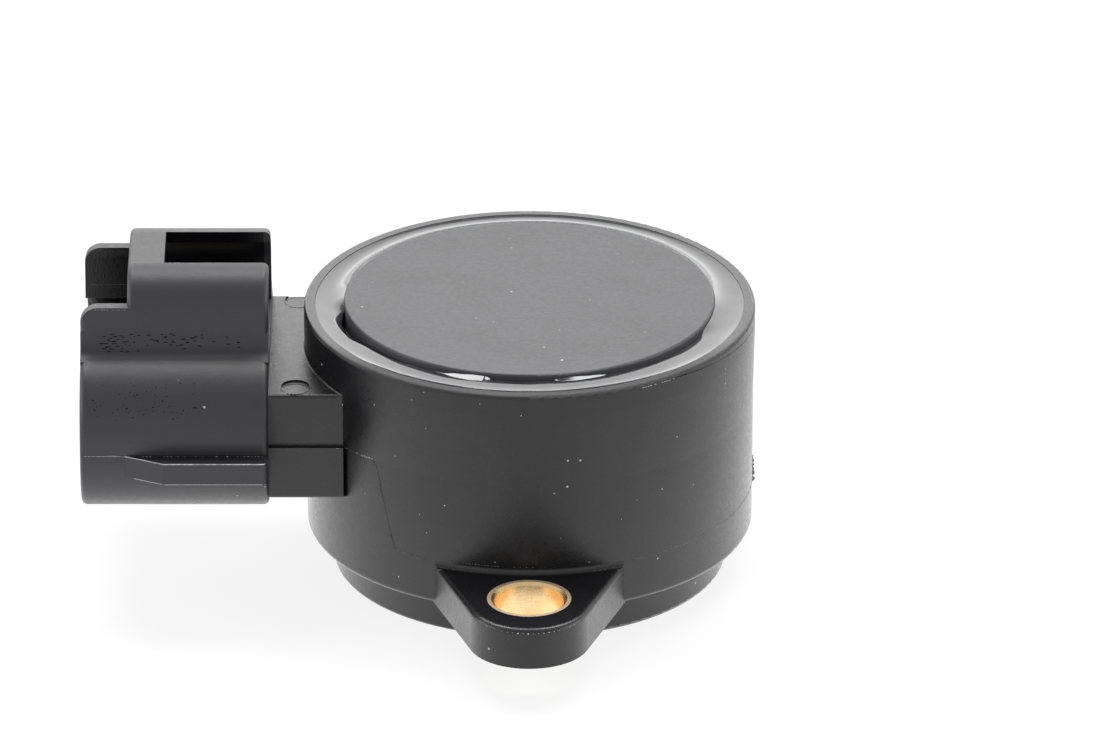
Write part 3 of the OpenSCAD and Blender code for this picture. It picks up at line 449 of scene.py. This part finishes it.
def buildResin():
    # the rim stands above the solid ring's own edge
    rimTop = resinHigh.z + resinLook["rimAbove"]
    foot = Vector((0, 0, resinLow.z + resinLook["footAbove"]))
    inner, outer = resinLook["lidRadius"] + resinLook["lidGap"], resinHigh.x - resinLook["rimGap"]
    rows, faces = [], []
    across = resinLook["across"]
    for step in range(resinLook["steps"]):
        angle = 360.0 * step / resinLook["steps"]
        radial = Vector((math.cos(math.radians(angle)), math.sin(math.radians(angle)), 0))
        gone = angleBump(angle, 0.5 * (resinLook["voidFrom"] + resinLook["voidTo"]),
                         0.5 * (resinLook["voidTo"] - resinLook["voidFrom"]))
        start = inner + resinLook["voidGap"] * min(1.0, 1.8 * gone)
        beside, hollow, atRim, hollowAt, bend = resinForm(angle)
        wave = 0.03 * noise.noise(radial * 3)
        # a level shelf beside the rim, in front only
        front = min(1.0, 1.6 * angleBump(angle, 270, 85))
        column = [radial * start + foot]
        for k in range(across + 1):
            t = (k / across) ** resinLook["crowding"]
            radius = start + (outer - start) * t
            inside = max(0.0, 1 - t / hollowAt) ** bend
            outside = max(0.0, (t - hollowAt) / (1 - hollowAt)) ** 2
            climbed = max(0.0, (t - resinLook["riseFrom"]) / (1 - resinLook["riseFrom"]))
            climbed **= resinLook["risePower"]
            shelf = (atRim - hollow + resinLook["dip"]) * climbed
            shelf -= resinLook["dip"] * easing(t, resinLook["dipFrom"], resinLook["dipTo"])
            level = hollow + (beside - hollow) * inside
            level += front * shelf + (1 - front) * (atRim - hollow) * outside
            column.append(radial * radius + Vector((0, 0, rimTop + (level + wave * (1 - t)) * mm)))
        column.append(radial * outer + foot)
        rows.append(column)
    width = len(rows[0])
    points = [point for column in rows for point in column]
    for step in range(len(rows)):
        following = (step + 1) % len(rows)
        for k in range(width):
            after = (k + 1) % width
            faces.append((step * width + k, following * width + k,
                          following * width + after, step * width + after))
    mesh = bpy.data.meshes.new("pottingResin")
    mesh.from_pydata(points, [], faces)
    mesh.update()
    for polygon in mesh.polygons:
        polygon.use_smooth = True
    piece = bpy.data.objects.new("pottingResin", mesh)
    bpy.context.scene.collection.objects.link(piece)
    return piece


resin = buildResin()
finish, tree, shader = newFinish("pottingResin")
coords = mmCoords(tree)
wire(tree, blendColours(tree, ramp(tree, noiseAt(tree, coords, 0.6, 4), 0.35, 0.65),
                        resinLook["dark"], resinLook["light"]), shader.inputs["Base Color"])
wire(tree, ramp(tree, noiseAt(tree, coords, 1.5, 4), 0.3, 0.7,
                resinLook["rough"] - 0.03, resinLook["rough"] + 0.08), shader.inputs["Roughness"])
wire(tree, bumpFrom(tree, noiseAt(tree, coords, 0.8, 3), 0.00004, 0.12), shader.inputs["Normal"])
shader.inputs["Specular IOR Level"].default_value = resinLook["gloss"]
resin.data.materials.append(finish)
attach(resin, "sensor_housing")
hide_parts("potting_ring")
print("resin cast")


# Flash along the mould's parting line, a thin torn lip of plastic

flashLook = {
    "lipWidth": 0.10 * mm, "lipHeight": 0.07 * mm, "seed": 7,
    "bodyZ": 4.05 * mm, "connectorZ": 11.85 * mm, "wallR": 19.35 * mm, "sunk": 0.03 * mm,
}


def wallPoint(angle, z):
    turn = math.radians(angle)
    return Vector((flashLook["wallR"] * math.cos(turn), flashLook["wallR"] * math.sin(turn), z))


def lipAlong(name, path, outward, height, ragged=0.5, finish=None):
    # a small three-sided ridge with an uneven crest
    dice = random.Random(flashLook["seed"] + len(path))
    points, faces = [], []
    half = 0.5 * flashLook["lipWidth"]
    for i, spot in enumerate(path):
        before, after = path[max(i - 1, 0)], path[min(i + 1, len(path) - 1)]
        along = (after - before).normalized()
        out = outward(spot)
        side = along.cross(out).normalized()
        crest = height * (1 - ragged * dice.random())
        foot = spot - out * flashLook["sunk"]
        points += [foot + side * half, spot + out * crest, foot - side * half]
    for i in range(len(path) - 1):
        a, b = 3 * i, 3 * i + 3
        faces += [(a, b, b + 1, a + 1), (a + 1, b + 1, b + 2, a + 2), (a + 2, b + 2, b, a)]
    faces += [(0, 1, 2), (3 * len(path) - 1, 3 * len(path) - 2, 3 * len(path) - 3)]
    mesh = bpy.data.meshes.new(name)
    mesh.from_pydata(points, [], faces)
    mesh.update()
    piece = bpy.data.objects.new(name, mesh)
    bpy.context.scene.collection.objects.link(piece)
    piece.data.materials.append(finish or flashFinish)
    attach(piece, "sensor_housing")
    return piece


def radialOut(spot):
    return Vector((spot.x, spot.y, 0)).normalized()


def wallRun(a0, a1, z0, z1, count):
    shares = [i / count for i in range(count + 1)]
    return [wallPoint(a0 + (a1 - a0) * share, z0 + (z1 - z0) * share) for share in shares]


flashPlasticLook = dict(housingLook, dark=(0.05, 0.05, 0.055), light=(0.09, 0.09, 0.10),
                        edgeShare=0.0, dustShare=0.0)
flashFinish = mouldedPlastic("flashPlastic", flashPlasticLook)

for side, tag in ((-1, "Front"), (1, "Rear")):
    high, low = flashLook["connectorZ"], flashLook["bodyZ"]
    neckPath = wallRun(side * 145.6, side * 134, high, high, 10)
    neckPath += wallRun(side * 133, side * 131.6, high - 0.3 * mm, high - 1.6 * mm, 3)
    neckPath += wallRun(side * 131.2, side * 127.4, high - 2.4 * mm, low + 0.9 * mm, 16)
    neckPath += wallRun(side * 126.6, side * 117.2, low + 0.2 * mm, low, 12)
    lipAlong("bodyFlash" + tag, neckPath, radialOut, flashLook["lipHeight"])
    footPath = wallRun(side * 63.0, 0, low, low, 60)
    lipAlong("footFlash" + tag, footPath, radialOut, 0.5 * flashLook["lipHeight"], 0.9)
print("parting flash laid")


# Small marks: torn flash, rubbed spots and loose dust, each a low flake set on the surface it lies on; a few
# light flakes are painted highlights and a few dark ones painted shade

def chipSheet(name, chips, finish, body="sensor_housing", seed=3):
    dice = random.Random(seed)
    points, faces = [], []
    for place, out, along, length, width, lift in chips:
        out = out.normalized()
        side = out.cross(along).normalized()
        along = side.cross(out)
        first, corners = len(points), 7
        sunk = min(0.02 * mm, 0.4 * lift)
        for k in range(corners):
            turn = 2 * math.pi * (k + 0.5 * dice.random()) / corners
            reach = 0.75 + 0.35 * dice.random()
            points.append(place + along * (0.5 * length * reach * math.cos(turn))
                          + side * (0.5 * width * reach * math.sin(turn)) - out * sunk)
        points.append(place + out * lift + along * (0.2 * length * (dice.random() - 0.5)))
        faces += [(first + k, first + (k + 1) % corners, first + corners) for k in range(corners)]
        faces.append(tuple(first + k for k in reversed(range(corners))))
    mesh = bpy.data.meshes.new(name)
    mesh.from_pydata(points, [], faces)
    mesh.update()
    piece = bpy.data.objects.new(name, mesh)
    bpy.context.scene.collection.objects.link(piece)
    piece.data.materials.append(finish)
    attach(piece, body)
    return piece


def landOn(name, start, direction):
    # where a straight line from start meets a solid, and the surface's outward side there
    hit, place, normal, face = nodes[name].ray_cast(Vector(start), Vector(direction))
    return (place, normal) if hit else None


lookFrom = 60 * mm


def fromFront(x, z):
    return landOn("housing", (x * mm, -lookFrom, z * mm), (0, 1, 0))


def fromAbove(x, y, name="housing"):
    return landOn(name, (x * mm, y * mm, lookFrom), (0, 0, -1))


def onLid(x, y):
    return fromAbove(x, y, "back_cover")


def fromSide(angle, z):
    turn = math.radians(angle)
    x, y = math.cos(turn), math.sin(turn)
    return landOn("housing", (lookFrom * x, lookFrom * y, z * mm), (-x, -y, 0))


def dashesAlong(landing, spots, along, dice, length, width, lift, skip=0.3):
    # short uneven flakes at each spot, with some left out
    made = []
    for spot in spots:
        if dice.random() < skip:
            continue
        found = landing(*spot)
        if found is not None:
            made.append((found[0], found[1], Vector(along), length * mm * (0.5 + dice.random()),
                         width * mm * (0.6 + 0.6 * dice.random()), lift * mm * (0.5 + dice.random())))
    return made


def spread(low, high, step):
    count = max(1, round(abs(high - low) / step))
    return [low + (high - low) * k / count for k in range(count + 1)]


marksLook = {
    "tornAndHighlight": {"dark": (0.30, 0.30, 0.31), "light": (0.52, 0.52, 0.53),
             "patch": 3.0, "grain": 9, "rough": 0.55},
    "rubbedAndShade": {"dark": (0.003, 0.003, 0.003), "light": (0.006, 0.006, 0.006),
               "patch": 2.0, "grain": 9, "rough": 0.85, "gloss": 0.05},
    "dust": {"dark": (0.45, 0.44, 0.43), "light": (0.62, 0.61, 0.60),
             "patch": 3.0, "grain": 12, "rough": 0.8},
}
tornAndHighlightFinish = drySurface("tornPlasticAndHighlight", marksLook["tornAndHighlight"])
rubbedAndShadeFinish = drySurface("rubbedPlasticAndShade", marksLook["rubbedAndShade"])
dustFinish = drySurface("looseDust", marksLook["dust"])
dice = random.Random(11)
sideways, inward, upward = (1, 0, 0), (0, 1, 0), (0, 0, 1)

# landing, spots, direction, then length, width and lift in millimetres, and the share left out
tornAndHighlightRows = (
    (fromFront, [(x, 11.87) for x in spread(-36.1, -35.4, 0.12)], sideways, 0.22, 0.13, 0.12, 0.0),
    (fromAbove, [(x, -13.12) for x in spread(-33.4, -22.9, 0.30)], sideways, 0.26, 0.10, 0.04, 0.45),
    (fromAbove, [(-22.25, y) for y in spread(-10.4, 9.8, 0.35)], inward, 0.30, 0.08, 0.05, 0.45),
    (fromAbove, [(x, -3.88) for x in spread(-31.4, -22.9, 0.25)], sideways, 0.26, 0.06, 0.03, 0.45),
    (fromAbove, [(x, -7.45) for x in spread(-37.2, -34.7, 0.25)], sideways, 0.26, 0.06, 0.03, 0.3),
    (fromAbove, [(x, -6.72) for x in spread(-37.2, -34.7, 0.25)], sideways, 0.26, 0.06, 0.03, 0.3),
    (fromSide, [(-30.3, z) for z in spread(15.0, 19.5, 0.45)], upward, 0.26, 0.09, 0.02, 0.2),
    (fromSide, [(a, 20.15) for a in spread(-60, -50, 0.7)], (1, 1, 0), 0.22, 0.10, 0.04, 0.3),
    (fromSide, [(a, 11.8 + 0.02 * (a + 145)) for a in spread(-145.4, -134.2, 0.9)],
     (-0.7, 0.7, 0), 0.28, 0.11, 0.06, 0.25),
    (fromSide, [(a, 4.33) for a in spread(-107, -98, 0.8)], sideways, 0.26, 0.05, 0.02, 0.15),
    (fromSide, [(a, 4.33) for a in spread(-97, -86, 1.6)], sideways, 0.16, 0.04, 0.01, 0.4),
    # painted highlights: light dots along the ear's front top edge
    (fromFront, [(x, 3.30) for x in spread(-3.6, 3.9, 0.45)], sideways, 0.16, 0.10, 0.02, 0.35),
)
tornAndHighlight = []
for landing, spots, along, *flake in tornAndHighlightRows:
    tornAndHighlight += dashesAlong(landing, spots, along, dice, *flake)
chipSheet("tornFlashAndHighlights", tornAndHighlight, tornAndHighlightFinish)


def towardFront(spot):
    return Vector((0, -1, 0))


def frontPath(xs, z):
    return [found[0] for found in (fromFront(x, z) for x in xs) if found is not None]


# name, reach and step along X, height, then the crest's height and how ragged it is
frontLips = (
    ("railTopLip", (-34.9, -22.6, 0.18), 11.82, 0.055 * mm, 0.9),
    # a painted highlight: a light lip along the rail's lower edge
    ("railLowEdgeHighlight", (-33.9, -22.6, 0.30), 9.93, 0.035 * mm, 0.3),
    ("shroudLip", (-38.2, -35.0, 0.12), 11.85, 0.05 * mm, 0.95),
)
for name, reach, z, crest, ragged in frontLips:
    lipAlong(name, frontPath(spread(*reach), z), towardFront, crest, ragged, tornAndHighlightFinish)
finPath = [Vector((x * mm, 5.40 * mm, 19.66 * mm)) for x in spread(-38.1, -34.5, 0.2)]
lipAlong("finMouldLine", finPath, towardFront, 0.03 * mm, 0.8, flashFinish)

rubbedAndShade = []
# reach along X, reach along Z, number, then length, width and lift: three of scuffs and one of pits
rubbedRows = (
    ((-36.8, -33.8), (19.4, 20.9), 34, 0.55, 0.15, 0.012),
    ((-33.8, -29.5), (19.4, 20.9), 24, 0.55, 0.15, 0.012),
    ((-29.5, -24.9), (19.4, 20.9), 16, 0.55, 0.15, 0.012),
    ((-37.6, -28.1), (15.1, 17.8), 60, 0.21, 0.16, 0.010),
)
for xReach, zReach, count, *flake in rubbedRows:
    for k in range(count):
        spot = (dice.uniform(*xReach), dice.uniform(*zReach))
        rubbedAndShade += dashesAlong(fromFront, [spot], sideways, dice, *flake, 0.0)
# painted shade: a dark line just under the rim's rounding
rimShadeLine = [(a, 20.2 - 0.022 * (a + 50)) for a in spread(-50, -1, 0.8)]
rubbedAndShade += dashesAlong(fromSide, rimShadeLine, (0.6, 0.8, 0), dice, 0.50, 0.10, 0.010, 0.0)
# painted shade: dark flakes ring the edges of the ejector marks
ejectorLook = {"x": -20.1, "ys": (-9.57, 8.37), "radius": 1.22}
for y in ejectorLook["ys"]:
    for turn in spread(0, 2 * math.pi, 0.26):
        spot = (ejectorLook["x"] + ejectorLook["radius"] * math.cos(turn),
                y + ejectorLook["radius"] * math.sin(turn))
        rubbedAndShade += dashesAlong(fromAbove, [spot], (-math.sin(turn), math.cos(turn), 0), dice,
                              0.50, 0.10 + 0.18 * abs(math.sin(turn)), 0.010, 0.0)
for y in spread(-24.6, -28.0, 0.35):
    spot = (6.05 - 0.27 * (-24.6 - y) - 0.15 * dice.random(), y)
    rubbedAndShade += dashesAlong(fromAbove, [spot], (0.25, -1, 0), dice, 0.34, 0.12, 0.01, 0.2)
chipSheet("rubbedSpotsAndShadeLines", rubbedAndShade, rubbedAndShadeFinish)

# angle and height on the wall, then X and Y on the lid
wallDust = ((-61.5, 9.6), (-54, 10), (-43.3, 9.3), (-66, 8.1), (-82, 7), (-74.7, 4.5),
            (-98.7, 4.7), (-117, 6.6), (-126.3, 13.1), (-117, 16.5), (-132.8, 17.3), (-102.4, 19.6),
            (-121, 18.9), (-92, 18.7), (-49.4, 14.5), (-137, 8.4), (-119, 8.2), (-112, 9.5))
shroudDust = ((-25.1, 7.6), (-22.7, 8.7), (-16.0, 15.8))
lidDust = ((-13.6, 3.2), (-5.8, 3.2), (-4.6, -4.3), (-3.1, -5.1), (-1.6, 10.4), (-1.8, 12.4),
           (8.9, 7.4), (11.8, 12.5), (-15.3, -0.6), (2.6, -6.8), (5.2, -0.6))
lidFibre = ((7.6, 9.1), (7.9, 9.2))
dust = dashesAlong(fromSide, wallDust, upward, dice, 0.15, 0.15, 0.05, 0.0)
dust += dashesAlong(fromFront, shroudDust, upward, dice, 0.18, 0.18, 0.06, 0.0)
chipSheet("wallDust", dust, dustFinish)
lint = dashesAlong(onLid, lidDust, (1, 0.4, 0), dice, 0.16, 0.10, 0.03, 0.0)
lint += dashesAlong(onLid, lidFibre, (1, 0.1, 0), dice, 0.42, 0.05, 0.03, 0.0)
chipSheet("lidLint", lint, dustFinish)
lipAlong("cupBurr", wallRun(-1, -1, 3.5 * mm, 6.0 * mm, 14), radialOut, 0.22 * mm, 0.85)
print("marks laid:", len(tornAndHighlight), len(rubbedAndShade), len(dust), len(lint))


# Stage: pale floor, soft studio light, camera

stageLook = {
    "floorZ": bodyLow.z - 0.02 * mm, "floorHalf": 1.6, "rough": 0.9,
    "pale": (0.93, 0.93, 0.94), "paler": (0.95, 0.95, 0.96), "litShare": 0.85,
    # the pool's reach is in millimetres from the axis
    "pool": 1.2, "poolFrom": 30.0, "poolTo": 75.0,
}


def buildStage():
    half, z = stageLook["floorHalf"], stageLook["floorZ"]
    mesh = bpy.data.meshes.new("studioFloor")
    corners = [(-half, -half, z), (half, -half, z), (half, half, z), (-half, half, z)]
    mesh.from_pydata(corners, [], [(0, 1, 2, 3)])
    floor = bpy.data.objects.new("studioFloor", mesh)
    bpy.context.scene.collection.objects.link(floor)
    finish, tree, shader = newFinish("studioFloor")
    shader.inputs["Roughness"].default_value = stageLook["rough"]
    cloud = ramp(tree, noiseAt(tree, mmCoords(tree), 0.01, 2), 0.3, 0.7)
    wire(tree, blendColours(tree, cloud, stageLook["pale"], stageLook["paler"]), shader.inputs["Base Color"])
    glow = tree.nodes.new("ShaderNodeEmission")
    mix = tree.nodes.new("ShaderNodeMixShader")
    rays = tree.nodes.new("ShaderNodeLightPath")
    seen = combine(tree, "MAXIMUM", rays.outputs["Is Camera Ray"], rays.outputs["Is Glossy Ray"])
    wire(tree, combine(tree, "MULTIPLY", seen, stageLook["litShare"]), mix.inputs["Fac"])
    # the lit table is a little brighter beside the object, as its gloss shows
    coords = mmCoords(tree)
    parts = tree.nodes.new("ShaderNodeSeparateXYZ")
    wire(tree, coords, parts.inputs["Vector"])
    reach = tree.nodes.new("ShaderNodeVectorMath")
    reach.operation = "LENGTH"
    wire(tree, coords, reach.inputs[0])
    aside = combine(tree, "DIVIDE", combine(tree, "ABSOLUTE", parts.outputs["X"], 0.0),
                    reach.outputs["Value"])
    fading = ramp(tree, reach.outputs["Value"], stageLook["poolFrom"], stageLook["poolTo"], 1.0, 0.0)
    pool = combine(tree, "MULTIPLY", fading, ramp(tree, aside, 0.0, 1.0, 0.2, 1.0))
    boost = combine(tree, "MULTIPLY", combine(tree, "MULTIPLY", pool, stageLook["pool"]),
                    rays.outputs["Is Glossy Ray"])
    wire(tree, combine(tree, "ADD", boost, 1.0), glow.inputs["Strength"])
    wire(tree, shader.outputs["BSDF"], mix.inputs[1])
    wire(tree, glow.outputs["Emission"], mix.inputs[2])
    wire(tree, mix.outputs["Shader"], tree.nodes["Material Output"].inputs["Surface"])
    mesh.materials.append(finish)


# the ranges are shares of the way from level to straight up, or from the side to straight behind
roomLook = {
    "plain": 0.55, "dimAbove": 0.35, "dimRange": (0.48, 0.64),
    "behind": 0.9, "behindRange": (0.75, 0.95), "behindHeight": (0.15, 0.35),
}


def buildWorld():
    world = bpy.data.worlds.new("studio")
    bpy.context.scene.world = world
    world.use_nodes = True
    tree = world.node_tree
    plain = tree.nodes["Background"]
    plain.inputs["Color"].default_value = (1, 1, 1, 1)
    plain.inputs["Strength"].default_value = roomLook["plain"]
    white = tree.nodes.new("ShaderNodeBackground")
    white.inputs["Color"].default_value = (1, 1, 1, 1)
    # for gloss the room is white low down and dim above the lamps
    toward = tree.nodes.new("ShaderNodeTexCoord")
    parts = tree.nodes.new("ShaderNodeSeparateXYZ")
    wire(tree, toward.outputs["Generated"], parts.inputs["Vector"])
    dim = ramp(tree, parts.outputs["Z"], *roomLook["dimRange"], 0.0, roomLook["dimAbove"])
    behind = combine(tree, "MULTIPLY", ramp(tree, parts.outputs["Y"], *roomLook["behindRange"]),
                     ramp(tree, parts.outputs["Z"], *roomLook["behindHeight"], roomLook["behind"], 0.0))
    level = combine(tree, "ADD", combine(tree, "SUBTRACT", 1.0, dim), behind)
    camera = tree.nodes.new("ShaderNodeLightPath")
    wire(tree, combine(tree, "MAXIMUM", level, camera.outputs["Is Camera Ray"]), white.inputs["Strength"])
    mix = tree.nodes.new("ShaderNodeMixShader")
    rays = tree.nodes.new("ShaderNodeLightPath")
    seen = combine(tree, "MAXIMUM", rays.outputs["Is Camera Ray"],
                   combine(tree, "MAXIMUM", rays.outputs["Is Glossy Ray"],
                           rays.outputs["Is Transmission Ray"]))
    wire(tree, seen, mix.inputs["Fac"])
    wire(tree, plain.outputs["Background"], mix.inputs[1])
    wire(tree, white.outputs["Background"], mix.inputs[2])
    wire(tree, mix.outputs["Shader"], tree.nodes["World Output"].inputs["Surface"])


def softPanel(name, place, size, watts, aim=(0, 0, 0.01)):
    lamp = bpy.data.lights.new(name, "AREA")
    lamp.shape = "RECTANGLE"
    lamp.size, lamp.size_y = size
    lamp.energy = watts
    panel = bpy.data.objects.new(name, lamp)
    panel.location = place
    panel.rotation_euler = (Vector(aim) - Vector(place)).to_track_quat("-Z", "Y").to_euler()
    bpy.context.scene.collection.objects.link(panel)


buildStage()
buildWorld()
# place and size in metres, power in watts
lampLook = {
    "back": {"place": (0.05, 0.85, 0.45), "size": (1.5, 0.6), "watts": 5},
    "side": {"place": (0.85, -0.05, 0.22), "size": (0.9, 0.42), "watts": 3},
    "top": {"place": (0.30, 0.34, 0.92), "size": (0.36, 0.5), "watts": 5.6},
}
softPanel("backPanel", **lampLook["back"])
for side, tag in ((-1, "left"), (1, "right")):
    for kind, ending in (("side", "Panel"), ("top", "TopPanel")):
        x, y, z = lampLook[kind]["place"]
        softPanel(tag + ending, **dict(lampLook[kind], place=(side * x, y, z)))

cameraLook = {
    "place": (0.0022, -1.0215, 0.4862), "pitch": 24.81, "lens": 421.62, "sensor": 36,
    "near": 0.05, "far": 20,
}
lens = bpy.data.cameras.new("photoCamera")
lens.lens = cameraLook["lens"]
lens.sensor_width = cameraLook["sensor"]
lens.clip_start, lens.clip_end = cameraLook["near"], cameraLook["far"]
camera = bpy.data.objects.new("photoCamera", lens)
camera.location = cameraLook["place"]
camera.rotation_euler = (math.radians(90 - cameraLook["pitch"]), 0, 0)
bpy.context.scene.collection.objects.link(camera)
bpy.context.scene.camera = camera
bpy.context.scene.view_settings.view_transform = "Standard"
print("stage set")
